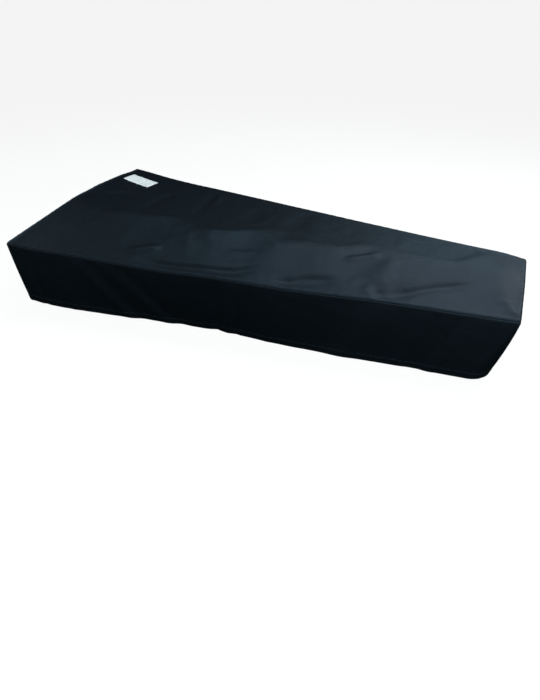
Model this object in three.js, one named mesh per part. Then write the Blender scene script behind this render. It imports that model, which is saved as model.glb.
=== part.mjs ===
// Fitted cover for a table xylophone, in the shape that it takes over the instrument: a trapezoid of
// coated cloth on top, and a skirt of four panels that hangs round it, hollow and open below.
//
// Millimetres. +X runs from the wide bass end to the narrow treble end, +Y to the back and +Z up. The
// origin is the underside of the top panel, at the middle of the length and of the depth. Heights in
// the tables are of the cloth's outer face, and the whole cover is then set down to that origin.

import * as THREE from 'three';

// Driving dimensions
const LENGTH = 1235;
const WIDE_DEPTH = 584;
const NARROW_DEPTH = 281;
const CLOTH = 1.5;
const SKIRT_DROP = 171;
const SEAM_GAP = 0.4;
const EDGE_ROLL = 6;              // radius of the bend from the top into the skirt
const SEAM_TURN = Math.PI / 4;    // how far round that bend the top seam lies
const CORNER_ROUND = 2.5;         // radius of the skirt's corners at the seam
const CROWN_BLEND = 5;            // softness of the crease along the crown
const SWING_CURVE = 1.4;   // the skirt falls nearly straight at first and swings in lower down
const FOLD_START = 0.06;   // share of the drop above which the skirt has no folds
const CALM_EDGE = 24;      // the top's folds die out over this distance from the long edges
const FOLD_FADE = 0.3;     // share of a fold's length over which each of its ends dies out

const COLOURS = { cloth: 0x1c242e, label: 0xe9ebea };

// The top across its depth, a row for each section along the length: the front edge's height, the
// place and height of the crown where the cloth lies over the raised back bars, and the back edge.
const TOP_SECTIONS = [
  { x: -617, front: -32.5, crownY: -5, crown: 8, back: 8 },
  { x: -560, front: -38.5, crownY: -40, crown: 5, back: 5 },
  { x: -470, front: -40.5, crownY: -66, crown: 1, back: -1 },
  { x: -380, front: -42.5, crownY: -56, crown: 0, back: -4 },
  { x: -285, front: -45.5, crownY: -38, crown: -1, back: -5 },
  { x: -190, front: -48, crownY: -58, crown: -2, back: -6.5 },
  { x: -100, front: -46, crownY: -42, crown: -1, back: -8 },
  { x: -30, front: -45.5, crownY: -18, crown: -1, back: -9.5 },
  { x: 41, front: -47, crownY: -52, crown: -2, back: -10.5 },
  { x: 102, front: -48, crownY: -42, crown: -2, back: -11.5 },
  { x: 181, front: -47, crownY: -30, crown: -3, back: -13 },
  { x: 260, front: -44.5, crownY: 8, crown: -3, back: -14 },
  { x: 330, front: -42.7, crownY: -3, crown: -4, back: -15 },
  { x: 415, front: -42.6, crownY: -5, crown: -6, back: -15.8 },
  { x: 500, front: -43.4, crownY: 10, crown: -9, back: -16 },
  { x: 560, front: -43.3, crownY: 5, crown: -13, back: -16 },
  { x: 617, front: -43, crownY: 0, crown: -24, back: -21 },
];

// The top's main folds, a row each: the line it runs along, the half width of the rounded trough
// (lift below 0) or ridge (above 0), and how far it lifts the cloth. One point makes a dimple.
const TOP_FOLDS = [
  { path: [[-606, 20], [-604, 130], [-600, 262]], width: 34, lift: 4 },
  { path: [[-80, -196], [0, -172], [66, -136]], width: 18, lift: -3 },
  { path: [[-308, -208], [-230, -155]], width: 16, lift: 3 },
  { path: [[78, -190], [150, -158], [235, -132]], width: 20, lift: -3 },
  { path: [[352, -143]], width: 34, lift: -7 },
  { path: [[345, -150], [402, -112], [510, -48]], width: 24, lift: -3.5 },
  { path: [[318, -150], [322, -60], [345, -10]], width: 30, lift: 5 },
  { path: [[212, -67], [298, -10]], width: 16, lift: 3 },
  { path: [[455, -10], [494, 45], [536, 128]], width: 22, lift: 4.5 },
  { path: [[562, -110], [563, 0], [563, 100]], width: 30, lift: 4 },
  { path: [[612, -134], [572, -74]], width: 18, lift: 2.5 },
  { path: [[-282, 225], [-262, 140], [-232, 0]], width: 18, lift: -3.5 },
  { path: [[-388, 160], [-386, -40]], width: 18, lift: -4 },
  { path: [[-92, 165], [-82, 0]], width: 26, lift: -2.5 },
  { path: [[42, 15], [40, 200]], width: 25, lift: -2.4 },
];

// The plan's corners, in order round the cover, and the radius of each one at the hem.
const CORNERS = [
  { x: -LENGTH / 2, y: -WIDE_DEPTH / 2, hemRound: 18 },
  { x: LENGTH / 2, y: -NARROW_DEPTH / 2, hemRound: 56 },
  { x: LENGTH / 2, y: NARROW_DEPTH / 2, hemRound: 34 },
  { x: -LENGTH / 2, y: WIDE_DEPTH / 2, hemRound: 18 },
];

// How far the hem of each wall swings in under the edge. The rows give what is added to the swing
// at a share of the way along the wall. A fold runs from its place at the edge to its place at the
// hem, in millimetres along the wall from the wall's first corner, and stands out (or in, below 0).
const WALLS = [
  {
    name: 'front_skirt',
    swing: 10,
    sway: [
      { at: 0, more: 0 },
      { at: 0.1, more: 1 },
      { at: 0.2, more: 8 },
      { at: 0.27, more: 18 },
      { at: 0.35, more: 26 },
      { at: 0.44, more: 24 },
      { at: 0.52, more: 21 },
      { at: 0.6, more: 15 },
      { at: 0.7, more: 7 },
      { at: 0.78, more: 2 },
      { at: 0.9, more: 2 },
      { at: 1, more: 0 },
    ],
    folds: [
      { edge: 180, hem: 315, width: 22, out: 3.5 },
      { edge: 228, hem: 350, width: 20, out: -2 },
      { edge: 262, hem: 428, width: 24, out: 3.5 },
      { edge: 310, hem: 466, width: 22, out: -3 },
      { edge: 570, hem: 570, width: 18, out: -4 },
      { edge: 962, hem: 922, width: 34, out: 4 },
      { edge: 1088, hem: 1100, width: 22, out: -3 },
    ],
    rows: 4,
  },
  {
    name: 'narrow_end_skirt',
    swing: 25,
    sway: [
      { at: 0, more: 0 },
      { at: 0.5, more: 4 },
      { at: 1, more: 0 },
    ],
    folds: [{ edge: 120, hem: 150, width: 30, out: 5 }],
    rows: 3,
  },
  {
    name: 'back_skirt',
    swing: 12,
    sway: [
      { at: 0, more: 0 },
      { at: 0.3, more: 8 },
      { at: 0.6, more: 3 },
      { at: 0.8, more: 10 },
      { at: 1, more: 0 },
    ],
    folds: [
      { edge: 240, hem: 225, width: 32, out: 6 },
      { edge: 520, hem: 560, width: 30, out: 7 },
      { edge: 600, hem: 640, width: 26, out: -4 },
      { edge: 930, hem: 900, width: 34, out: 6 },
    ],
    rows: 3,
  },
  {
    name: 'wide_end_skirt',
    swing: 5,
    sway: [
      { at: 0, more: 0 },
      { at: 0.35, more: 8 },
      { at: 0.7, more: 4 },
      { at: 1, more: 0 },
    ],
    folds: [
      { edge: 190, hem: 165, width: 30, out: 5 },
      { edge: 400, hem: 430, width: 28, out: 5 },
    ],
    rows: 3,
  },
];

// Grid columns along the top, closer together where the cloth is creased: the step in each stretch.
const COLUMN_STRETCHES = [
  { to: -310, step: 33 },
  { to: 60, step: 23 },
  { to: 300, step: 30 },
  { to: 520, step: 20 },
  { to: LENGTH / 2 - EDGE_ROLL, step: 24 },
];
const ROW_STEPS = 17;

// The sewn-on label, near the back corner of the wide end and in line with the back edge. The cloth
// pulls it a little out of square.
const LABEL = {
  length: 104, width: 53, thickness: 0.8, clearance: 0.7, centreX: -532, centreY: 190, turn: -0.2,
  skew: -0.14, cells: [6, 2],
};

const SEAM_INSET = EDGE_ROLL * (1 - Math.sin(SEAM_TURN));
const SEAM_FALL = EDGE_ROLL * (1 - Math.cos(SEAM_TURN));
const TAPER = Math.atan2((WIDE_DEPTH - NARROW_DEPTH) / 2, LENGTH);

// A smooth curve through one column of a table.
function readTable(rows, place, column, at) {
  const last = rows.length - 1;
  const x = THREE.MathUtils.clamp(at, rows[0][place], rows[last][place]);
  let i = 0;
  while (i < last - 1 && x > rows[i + 1][place]) {
    i += 1;
  }
  const slopeAt = (k) => {
    const before = rows[Math.max(k - 1, 0)];
    const after = rows[Math.min(k + 1, last)];
    return (after[column] - before[column]) / (after[place] - before[place]);
  };
  const span = rows[i + 1][place] - rows[i][place];
  const t = (x - rows[i][place]) / span;
  const start = rows[i][column] * (2 * t ** 3 - 3 * t ** 2 + 1);
  const end = rows[i + 1][column] * (3 * t ** 2 - 2 * t ** 3);
  const leave = slopeAt(i) * span * (t ** 3 - 2 * t ** 2 + t);
  const arrive = slopeAt(i + 1) * span * (t ** 3 - t ** 2);
  return start + end + leave + arrive;
}

function halfDepth(x) {
  return THREE.MathUtils.lerp(WIDE_DEPTH, NARROW_DEPTH, x / LENGTH + 0.5) / 2;
}

// The lower of two heights, with the corner between them rounded off.
function smoothMin(a, b, blend) {
  const share = Math.max(blend - Math.abs(a - b), 0) / blend;
  return Math.min(a, b) - (share ** 2 * blend) / 4;
}

// How far the rounded edge has fallen at a distance from the outermost face.
function rollFall(distance) {
  const inside = THREE.MathUtils.clamp(EDGE_ROLL - distance, 0, EDGE_ROLL);
  return EDGE_ROLL - Math.sqrt(EDGE_ROLL ** 2 - inside ** 2);
}

// A fold's height at a point of the top: a rounded cross-section that dies out at the line's ends.
function foldLift(fold, x, y) {
  const points = fold.path.map(([px, py]) => new THREE.Vector2(px, py));
  const here = new THREE.Vector2(x, y);
  if (points.length === 1) {
    return fold.lift * Math.exp(-((here.distanceTo(points[0]) / fold.width) ** 2));
  }
  const lengths = points.slice(1).map((point, i) => point.distanceTo(points[i]));
  const total = lengths.reduce((sum, length) => sum + length, 0);
  let nearest = Infinity;
  let progress = 0;
  let passed = 0;
  lengths.forEach((length, i) => {
    const along = points[i + 1].clone().sub(points[i]).divideScalar(length);
    const reach = THREE.MathUtils.clamp(here.clone().sub(points[i]).dot(along), 0, length);
    const distance = here.distanceTo(points[i].clone().addScaledVector(along, reach));
    if (distance < nearest) {
      nearest = distance;
      progress = (passed + reach) / total;
    }
    passed += length;
  });
  const fade = THREE.MathUtils.smoothstep(Math.min(progress, 1 - progress), 0, FOLD_FADE);
  return fold.lift * fade * Math.exp(-((nearest / fold.width) ** 2));
}

// Height of the top's outer face: two soft slopes that meet at the crown, the folds, and the edge's
// roll. It stays correct a little way past the seam.
function topHeight(x, y) {
  const half = halfDepth(x);
  const front = readTable(TOP_SECTIONS, 'x', 'front', x);
  const crownY = readTable(TOP_SECTIONS, 'x', 'crownY', x);
  const crown = readTable(TOP_SECTIONS, 'x', 'crown', x);
  const back = readTable(TOP_SECTIONS, 'x', 'back', x);
  const frontSlope = front + ((crown - front) * (y + half)) / (crownY + half);
  const backSlope = back + ((crown - back) * (half - y)) / (half - crownY);
  const calm = Math.min((half - Math.abs(y)) / CALM_EDGE, 1);
  const folds = TOP_FOLDS.reduce((sum, fold) => sum + foldLift(fold, x, y), 0) * calm;
  const edges = [
    (y + half) * Math.cos(TAPER),
    (half - y) * Math.cos(TAPER),
    LENGTH / 2 - x,
    LENGTH / 2 + x,
  ];
  const rolled = edges.reduce((sum, distance) => sum + rollFall(distance), 0);
  return smoothMin(frontSlope, backSlope, CROWN_BLEND) + folds - rolled;
}

const DATUM = topHeight(0, 0) - CLOTH;

function setDown(x, y, z) {
  return new THREE.Vector3(x, y, z - DATUM);
}

// A closed sheet of cloth from a grid of points on its outer face. The grid has one line more than
// the sheet on every side, so that the sheet's own edges face the right way too. The inner face
// lies one thickness behind the outer one.
function clothSheet(grid, thickness) {
  const rows = grid.length - 2;
  const columns = grid[0].length - 2;
  const outer = [];
  const inner = [];
  for (let i = 1; i <= rows; i += 1) {
    for (let j = 1; j <= columns; j += 1) {
      const along = grid[i][j + 1].clone().sub(grid[i][j - 1]);
      const up = grid[i + 1][j].clone().sub(grid[i - 1][j]);
      const normal = along.cross(up).normalize();
      outer.push(grid[i][j]);
      inner.push(grid[i][j].clone().addScaledVector(normal, -thickness));
    }
  }
  const faces = [];
  const quad = (a, b, c, d) => faces.push(a, b, c, a, c, d);
  const at = (i, j) => i * columns + j;
  const behind = (i, j) => rows * columns + at(i, j);
  for (let i = 0; i < rows - 1; i += 1) {
    for (let j = 0; j < columns - 1; j += 1) {
      quad(at(i, j), at(i, j + 1), at(i + 1, j + 1), at(i + 1, j));
      quad(behind(i, j), behind(i + 1, j), behind(i + 1, j + 1), behind(i, j + 1));
    }
  }
  for (let j = 0; j < columns - 1; j += 1) {
    quad(at(0, j), behind(0, j), behind(0, j + 1), at(0, j + 1));
    quad(at(rows - 1, j), at(rows - 1, j + 1), behind(rows - 1, j + 1), behind(rows - 1, j));
  }
  for (let i = 0; i < rows - 1; i += 1) {
    quad(at(i, 0), at(i + 1, 0), behind(i + 1, 0), behind(i, 0));
    quad(at(i, columns - 1), behind(i, columns - 1), behind(i + 1, columns - 1),
      at(i + 1, columns - 1));
  }
  const geometry = new THREE.BufferGeometry();
  const positions = [...outer, ...inner].flatMap((point) => point.toArray());
  geometry.setAttribute('position', new THREE.Float32BufferAttribute(positions, 3));
  geometry.setIndex(faces);
  geometry.computeVertexNormals();
  return geometry;
}

// Distances from the outermost face of the grid lines in the rounded edge: a line as far past the
// seam as the next one lies before it, the seam, the end of the corner's arc and the end of the roll.
const ARC_END_INSET = SEAM_INSET + CORNER_ROUND;
const PAST_SEAM_TURN = 2 * SEAM_TURN - Math.asin(1 - ARC_END_INSET / EDGE_ROLL);
const PAST_SEAM_INSET = EDGE_ROLL * (1 - Math.sin(PAST_SEAM_TURN));
const EDGE_LINES = [PAST_SEAM_INSET, SEAM_INSET, ARC_END_INSET, EDGE_ROLL];

function gridColumns() {
  const columns = [];
  let from = -LENGTH / 2 + EDGE_ROLL;
  for (const { to, step } of COLUMN_STRETCHES) {
    const count = Math.round((to - from) / step);
    for (let i = 1; i <= count; i += 1) {
      columns.push(from + ((to - from) * i) / count);
    }
    from = to;
  }
  columns.pop();
  const start = EDGE_LINES.map((inset) => -LENGTH / 2 + inset);
  const end = EDGE_LINES.map((inset) => LENGTH / 2 - inset).reverse();
  return [...start, ...columns, ...end];
}

// The rows across the depth at one column, from the front to the back.
function gridRows(x) {
  const half = halfDepth(x);
  const edges = EDGE_LINES.map((inset) => half - inset / Math.cos(TAPER));
  const inside = edges[edges.length - 1];
  const rows = [];
  for (let i = 1; i < ROW_STEPS; i += 1) {
    rows.push(inside * ((2 * i) / ROW_STEPS - 1));
  }
  return [...edges.map((y) => -y), ...rows, ...edges.reverse()];
}

function turnInward(direction) {
  return new THREE.Vector2(-direction.y, direction.x);
}

function wallDirection(index) {
  const from = CORNERS[index];
  const to = CORNERS[(index + 1) % CORNERS.length];
  return new THREE.Vector2(to.x - from.x, to.y - from.y).normalize();
}

// The point at given distances inside the two walls that meet at a corner.
function insideCorner(index, insetBefore, insetAfter) {
  const before = turnInward(wallDirection((index + 3) % 4));
  const after = turnInward(wallDirection(index));
  const lean = before.dot(after);
  const alongBefore = (insetBefore - lean * insetAfter) / (1 - lean ** 2);
  const alongAfter = (insetAfter - lean * insetBefore) / (1 - lean ** 2);
  return new THREE.Vector2(CORNERS[index].x, CORNERS[index].y)
    .addScaledVector(before, alongBefore)
    .addScaledVector(after, alongAfter);
}

// A point on the arc that rounds a corner, from 0 at the wall before it to 1 at the wall after it.
function cornerArc(index, insetBefore, insetAfter, radius, share) {
  const before = turnInward(wallDirection((index + 3) % 4));
  const after = turnInward(wallDirection(index));
  const centre = insideCorner(index, insetBefore + radius, insetAfter + radius);
  const turn = Math.acos(before.dot(after)) * share;
  const outward = before.clone().rotateAround(new THREE.Vector2(), turn).negate();
  return centre.addScaledVector(outward, radius);
}

// The levels of a wall, from below the hem up to just past the seam: how far below the edge, how far
// the rounded edge holds it in, and the share of the drop.
function wallLevels(rows) {
  const rolled = [
    Math.PI / 2,
    (Math.PI / 2 + SEAM_TURN) / 2,
    SEAM_TURN + SEAM_GAP / EDGE_ROLL,
    SEAM_TURN - (Math.PI / 2 - SEAM_TURN) / 2,
  ];
  const levels = rolled.map((angle) => ({
    fall: EDGE_ROLL * (1 - Math.cos(angle)),
    inset: EDGE_ROLL * (1 - Math.sin(angle)),
  }));
  for (let i = 1; i <= rows + 1; i += 1) {
    levels.unshift({ fall: EDGE_ROLL + ((SKIRT_DROP - EDGE_ROLL) * i) / rows, inset: 0 });
  }
  return levels;
}

// Where the top panel's grid lines meet one wall's seam, clear of the corners.
function seamPlaces(index) {
  const columns = gridColumns();
  if (index % 2 === 0) {
    const places = columns.slice(3, -3)
      .map((x) => new THREE.Vector2(x, gridRows(x).at(index === 0 ? 1 : -2)));
    return index === 0 ? places : places.reverse();
  }
  const x = columns.at(index === 1 ? -2 : 1);
  const places = gridRows(x).slice(3, -3).map((y) => new THREE.Vector2(x, y));
  return index === 1 ? places : places.reverse();
}

// One wall of the skirt: the straight part between two rounded corners, each shared with the next
// wall at the seam in the middle of the arc.
function skirtGrid(index) {
  const wall = WALLS[index];
  const next = (index + 1) % 4;
  const swingBefore = WALLS[(index + 3) % 4].swing;
  const swingAfter = WALLS[next].swing;
  const along = wallDirection(index);
  const inward = turnInward(along);
  const from = cornerArc(index, SEAM_INSET, SEAM_INSET, CORNER_ROUND, 1);
  const to = cornerArc(next, SEAM_INSET, SEAM_INSET, CORNER_ROUND, 0);
  const length = from.distanceTo(to);
  const shares = seamPlaces(index).map((place) => place.sub(from).dot(along) / length);

  const pointAt = (level, share, arc) => {
    const down = level.fall / SKIRT_DROP;
    const swung = down ** SWING_CURVE;
    const own = level.inset + wall.swing * swung;
    const before = level.inset + swingBefore * swung;
    const after = level.inset + swingAfter * swung;
    const round = (corner) => THREE.MathUtils.lerp(CORNER_ROUND, CORNERS[corner].hemRound, down);
    if (arc === 'start') {
      return cornerArc(index, before, own, round(index), share);
    }
    if (arc === 'end') {
      return cornerArc(next, own, after, round(next), share);
    }
    const flat = cornerArc(index, before, own, round(index), 1)
      .lerp(cornerArc(next, own, after, round(next), 0), share);
    const place = share * length;
    const sway = readTable(wall.sway, 'at', 'more', share) * swung;
    const folds = wall.folds.reduce((sum, fold) => {
      const offset = (place - THREE.MathUtils.lerp(fold.edge, fold.hem, down)) / fold.width;
      return sum + fold.out * Math.exp(-(offset ** 2)) * Math.sqrt(Math.max(down - FOLD_START, 0));
    }, 0);
    return flat.addScaledVector(inward, sway - folds);
  };

  // The seam with the next wall lies halfway round each arc; the first and last columns pass it.
  const columns = [
    ...[0.25, 0.5, 0.75, 1].map((share) => ({ share, arc: 'start' })),
    ...shares.map((share) => ({ share, arc: '' })),
    ...[0, 0.25, 0.5, 0.75].map((share) => ({ share, arc: 'end' })),
  ];
  const seamLevel = { fall: SEAM_FALL, inset: SEAM_INSET };
  return wallLevels(wall.rows).map((level) => columns.map(({ share, arc }, j) => {
    const edge = pointAt(seamLevel, share, arc);
    const height = topHeight(edge.x, edge.y) + SEAM_FALL - level.fall;
    const point = pointAt(level, share, arc);
    if (j === 1) {
      point.addScaledVector(along, SEAM_GAP / 2);
    }
    if (j === columns.length - 2) {
      point.addScaledVector(along, -SEAM_GAP / 2);
    }
    return setDown(point.x, point.y, height);
  }));
}

// The top panel out to its seam, with its corners cut back to sit inside the skirt's round ones.
function topGrid() {
  const columns = gridColumns();
  const rowCount = gridRows(0).length;
  const grid = [];
  for (let i = 0; i < rowCount; i += 1) {
    grid.push(columns.map((x) => {
      const y = gridRows(x)[i];
      return setDown(x, y, topHeight(x, y));
    }));
  }
  const [lastRow, lastColumn] = [rowCount - 2, columns.length - 2];
  [[1, 1], [1, lastColumn], [lastRow, lastColumn], [lastRow, 1]].forEach(([i, j], index) => {
    const inset = SEAM_INSET + SEAM_GAP;
    const point = cornerArc(index, inset, inset, CORNER_ROUND, 0.5);
    grid[i][j] = setDown(point.x, point.y, topHeight(point.x, point.y));
  });
  return grid;
}

// The label lies just over the top panel and follows it.
function labelGrid() {
  const { length, width, thickness, clearance, centreX, centreY, turn, skew, cells } = LABEL;
  const grid = [];
  for (let i = -1; i <= cells[1] + 1; i += 1) {
    const row = [];
    for (let j = -1; j <= cells[0] + 1; j += 1) {
      const across = (i / cells[1] - 0.5) * width;
      const place = new THREE.Vector2((j / cells[0] - 0.5) * length + skew * across, across)
        .rotateAround(new THREE.Vector2(), turn);
      const x = centreX + place.x;
      const y = centreY + place.y;
      row.push(setDown(x, y, topHeight(x, y) + clearance + thickness));
    }
    grid.push(row);
  }
  return grid;
}

function clothMaterial() {
  return new THREE.MeshStandardMaterial({ color: COLOURS.cloth, roughness: 0.62, metalness: 0 });
}

function piece(name, grid, thickness, material) {
  const mesh = new THREE.Mesh(clothSheet(grid, thickness), material);
  mesh.name = name;
  return mesh;
}

const group = new THREE.Group();
group.add(piece('top_panel', topGrid(), CLOTH, clothMaterial()));
WALLS.forEach((wall, index) => {
  group.add(piece(wall.name, skirtGrid(index), CLOTH, clothMaterial()));
});
group.add(piece('label', labelGrid(), LABEL.thickness,
  new THREE.MeshStandardMaterial({ color: COLOURS.label, roughness: 0.55, metalness: 0 })));

export default group;
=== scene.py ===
# %% [markdown]
# # A fitted cover for a table xylophone
#
# The cover is a tapered box of coated cloth with no bottom: a trapezoid for the top and four walls
# that hang down as a skirt. It is empty here, in the shape that it takes over the instrument. The
# frame comes in first, because every cloth is built around its solid and rides on its body.

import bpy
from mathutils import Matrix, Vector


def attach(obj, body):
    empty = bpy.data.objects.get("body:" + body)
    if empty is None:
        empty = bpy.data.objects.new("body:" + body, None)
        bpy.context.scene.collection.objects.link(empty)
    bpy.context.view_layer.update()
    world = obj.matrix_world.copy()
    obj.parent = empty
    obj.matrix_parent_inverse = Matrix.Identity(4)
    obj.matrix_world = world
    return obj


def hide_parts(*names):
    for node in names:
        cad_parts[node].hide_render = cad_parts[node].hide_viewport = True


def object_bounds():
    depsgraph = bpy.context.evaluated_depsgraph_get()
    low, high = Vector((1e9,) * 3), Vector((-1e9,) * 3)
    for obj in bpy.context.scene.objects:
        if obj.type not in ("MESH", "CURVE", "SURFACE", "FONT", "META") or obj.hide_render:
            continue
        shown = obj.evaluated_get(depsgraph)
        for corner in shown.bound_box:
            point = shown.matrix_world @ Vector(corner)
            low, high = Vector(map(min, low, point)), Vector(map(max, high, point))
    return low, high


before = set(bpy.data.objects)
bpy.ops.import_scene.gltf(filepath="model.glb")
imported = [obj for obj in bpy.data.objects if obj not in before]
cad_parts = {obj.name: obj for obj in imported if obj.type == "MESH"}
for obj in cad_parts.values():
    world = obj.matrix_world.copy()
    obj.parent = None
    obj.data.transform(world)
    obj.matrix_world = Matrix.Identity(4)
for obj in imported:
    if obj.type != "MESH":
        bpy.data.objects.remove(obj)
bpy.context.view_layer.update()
print("solids:", sorted(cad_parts))

# %% [markdown]
# ## Units and the pattern's sizes
#
# A pattern cutter works in millimetres, so every size and table here is in millimetres and only the
# finished points are turned into metres. +X runs from the wide bass end to the narrow treble end,
# +Y to the back, and heights are of the cloth's outer face.

# %% The pattern's sizes
import math

import bmesh
import bpy
import numpy as np
from mathutils import Matrix, Vector

MM = 0.001
LENGTH = 1235.0
WIDE_DEPTH = 584.0
NARROW_DEPTH = 281.0
CLOTH = 1.5
SKIRT_DROP = 171.0
EDGE_ROLL = 6.0             # radius of the bend from the top into the skirt
SEAM_TURN = math.pi / 4     # how far round that bend the top seam lies
CORNER_ROUND = 2.5          # radius of the skirt's corners at the seam
CROWN_BLEND = 5.0           # softness of the crease along the crown
SWING_CURVE = 1.4           # a wall falls nearly straight at first and swings in lower down
FOLD_START = 0.06           # share of the drop above which a wall has no folds
CALM_EDGE = 24.0            # the top's folds die out over this distance from the long edges
FOLD_FADE = 0.3             # share of a fold's length over which each end dies out
HEM_WIDTH = 20.0
SEAM_GAP = 0.35             # between two cloths where they are sewn
SEAM_INSET = EDGE_ROLL * (1 - math.sin(SEAM_TURN))
SEAM_FALL = EDGE_ROLL * (1 - math.cos(SEAM_TURN))
TAPER = math.atan2((WIDE_DEPTH - NARROW_DEPTH) / 2, LENGTH)
print("the front and back edges taper by", round(math.degrees(TAPER), 2), "degrees")

# %% [markdown]
# ## Reading a smooth curve from a few numbers
#
# A table gives a value at a handful of places, and the cloth needs it everywhere. A Hermite curve
# passes through each value and keeps the slope steady there, so the cloth has no kinks at them.

# %% A smooth curve through a table
def smooth_curve(places, values, at):
    places, values = np.asarray(places, float), np.asarray(values, float)
    slopes = np.gradient(values, places) * 0
    slopes[1:-1] = (values[2:] - values[:-2]) / (places[2:] - places[:-2])
    slopes[0] = (values[1] - values[0]) / (places[1] - places[0])
    slopes[-1] = (values[-1] - values[-2]) / (places[-1] - places[-2])
    at = np.clip(at, places[0], places[-1])
    i = np.clip(np.searchsorted(places, at) - 1, 0, len(places) - 2)
    span = places[i + 1] - places[i]
    t = (at - places[i]) / span
    ends = values[i] * (2 * t**3 - 3 * t**2 + 1) + values[i + 1] * (3 * t**2 - 2 * t**3)
    leave = slopes[i] * span * (t**3 - 2 * t**2 + t)
    arrive = slopes[i + 1] * span * (t**3 - t**2)
    return ends + leave + arrive


# %% [markdown]
# ## The top's main form
#
# Under the cloth the back bars stand higher than the front ones. So the top is two soft slopes that
# meet along a crown, a little behind the middle. Each row gives the front edge's height, the
# crown's place and height, and the back edge's height at one section along the length.

# %% The sections of the top
TOP_SECTIONS = [  # along, front edge, crown's place, crown, back edge
    (-617, -32.5, -5, 8, 8), (-560, -38.5, -40, 5, 5), (-470, -40.5, -66, 1, -1),
    (-380, -42.5, -56, 0, -4), (-285, -45.5, -38, -1, -5), (-190, -48, -58, -2, -6.5),
    (-100, -46, -42, -1, -8), (-30, -45.5, -18, -1, -9.5), (41, -47, -52, -2, -10.5),
    (102, -48, -42, -2, -11.5), (181, -47, -30, -3, -13), (260, -44.5, 8, -3, -14),
    (330, -42.7, -3, -4, -15), (415, -42.6, -5, -6, -15.8), (500, -43.4, 10, -9, -16),
    (560, -43.3, 5, -13, -16), (617, -43, 0, -24, -21),
]


def half_depth(x):
    return (WIDE_DEPTH + (NARROW_DEPTH - WIDE_DEPTH) * (x / LENGTH + 0.5)) / 2


def section(column, x):
    rows = np.array(TOP_SECTIONS, float)
    return smooth_curve(rows[:, 0], rows[:, column], x)


def smooth_min(a, b, blend):
    share = np.maximum(blend - np.abs(a - b), 0) / blend
    return np.minimum(a, b) - share**2 * blend / 4


def roll_fall(distance):
    inside = np.clip(EDGE_ROLL - distance, 0, EDGE_ROLL)
    return EDGE_ROLL - np.sqrt(EDGE_ROLL**2 - inside**2)


print("half depths at the ends:", half_depth(-LENGTH / 2), half_depth(LENGTH / 2))

# %% [markdown]
# ## Folds
#
# A fold in coated cloth is rarely even: it is steep on one side and runs out gently on the other.
# So each fold is a line with a width on its left side and a width on its right side, seen along the
# line, and it dies out at both ends. A single point makes a dimple.

# %% What a fold does to a surface
def smooth_path(points, steps=7):
    points = np.asarray(points, float)
    if len(points) < 3:
        return points
    places = np.arange(len(points))
    at = np.linspace(0, len(points) - 1, (len(points) - 1) * steps + 1)
    return np.stack([smooth_curve(places, points[:, k], at) for k in (0, 1)], axis=1)


def beside_path(points, x, y):
    """The signed distance to the left of a path, and the share of the path passed, everywhere."""
    points = smooth_path(points)
    best = np.full(x.shape, np.inf)
    side = np.zeros(x.shape)
    progress = np.zeros(x.shape)
    lengths = np.hypot(*(points[1:] - points[:-1]).T)
    passed = np.concatenate([[0], np.cumsum(lengths)])
    for (ax, ay), (bx, by), length, start in zip(points, points[1:], lengths, passed):
        dx, dy = (bx - ax) / length, (by - ay) / length
        reach = np.clip((x - ax) * dx + (y - ay) * dy, 0, length)
        px, py = x - ax - dx * reach, y - ay - dy * reach
        distance = np.hypot(px, py)
        nearer = distance < best
        best = np.where(nearer, distance, best)
        side = np.where(nearer, np.sign(dx * py - dy * px), side)
        progress = np.where(nearer, (start + reach) / passed[-1], progress)
    return best * np.where(side < 0, -1, 1), progress


def fold_height(path, left, right, lift, x, y):
    if len(path) == 1:
        distance = np.hypot(x - path[0][0], y - path[0][1])
        return lift * np.exp(-((distance / left) ** 2))
    beside, progress = beside_path(path, x, y)
    width = np.where(beside > 0, left, right)
    fade = np.clip(np.minimum(progress, 1 - progress) / FOLD_FADE, 0, 1)
    return lift * fade**2 * (3 - 2 * fade) * np.exp(-((beside / width) ** 2))


# %% [markdown]
# ## The folds of the top
#
# The first table holds the broad folds, which the solid has as well. The second holds the creases
# that only fine cloth shows: narrow, shallow and lopsided.

# %% The broad folds
TOP_FOLDS = [  # path, width to the left, width to the right, lift
    ([(-606, 20), (-604, 130), (-600, 262)], 34, 34, 4),
    ([(-80, -196), (0, -172), (66, -136)], 14, 26, -1.2),
    ([(-308, -208), (-230, -155)], 13, 18, 3),
    ([(78, -190), (150, -158), (235, -132)], 18, 28, -1.4),
    ([(352, -143)], 34, 34, -7),
    ([(345, -150), (402, -112), (510, -48)], 22, 26, -3),
    ([(318, -150), (322, -60), (345, -10)], 34, 20, 4),
    ([(212, -67), (298, -10)], 12, 18, 2.5),
    ([(455, -10), (494, 45), (536, 128)], 20, 26, 4.5),
    ([(562, -110), (563, 0), (563, 100)], 30, 30, 4.5),
    ([(612, -134), (572, -74)], 18, 20, 2.5),
    ([(-282, 225), (-262, 140), (-232, 0)], 18, 18, -3.5),
    ([(-388, 160), (-386, -40)], 18, 18, -4),
    ([(-92, 165), (-82, 0)], 26, 26, -2.5),
    ([(42, 15), (40, 200)], 26, 24, -2.4),
]

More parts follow.
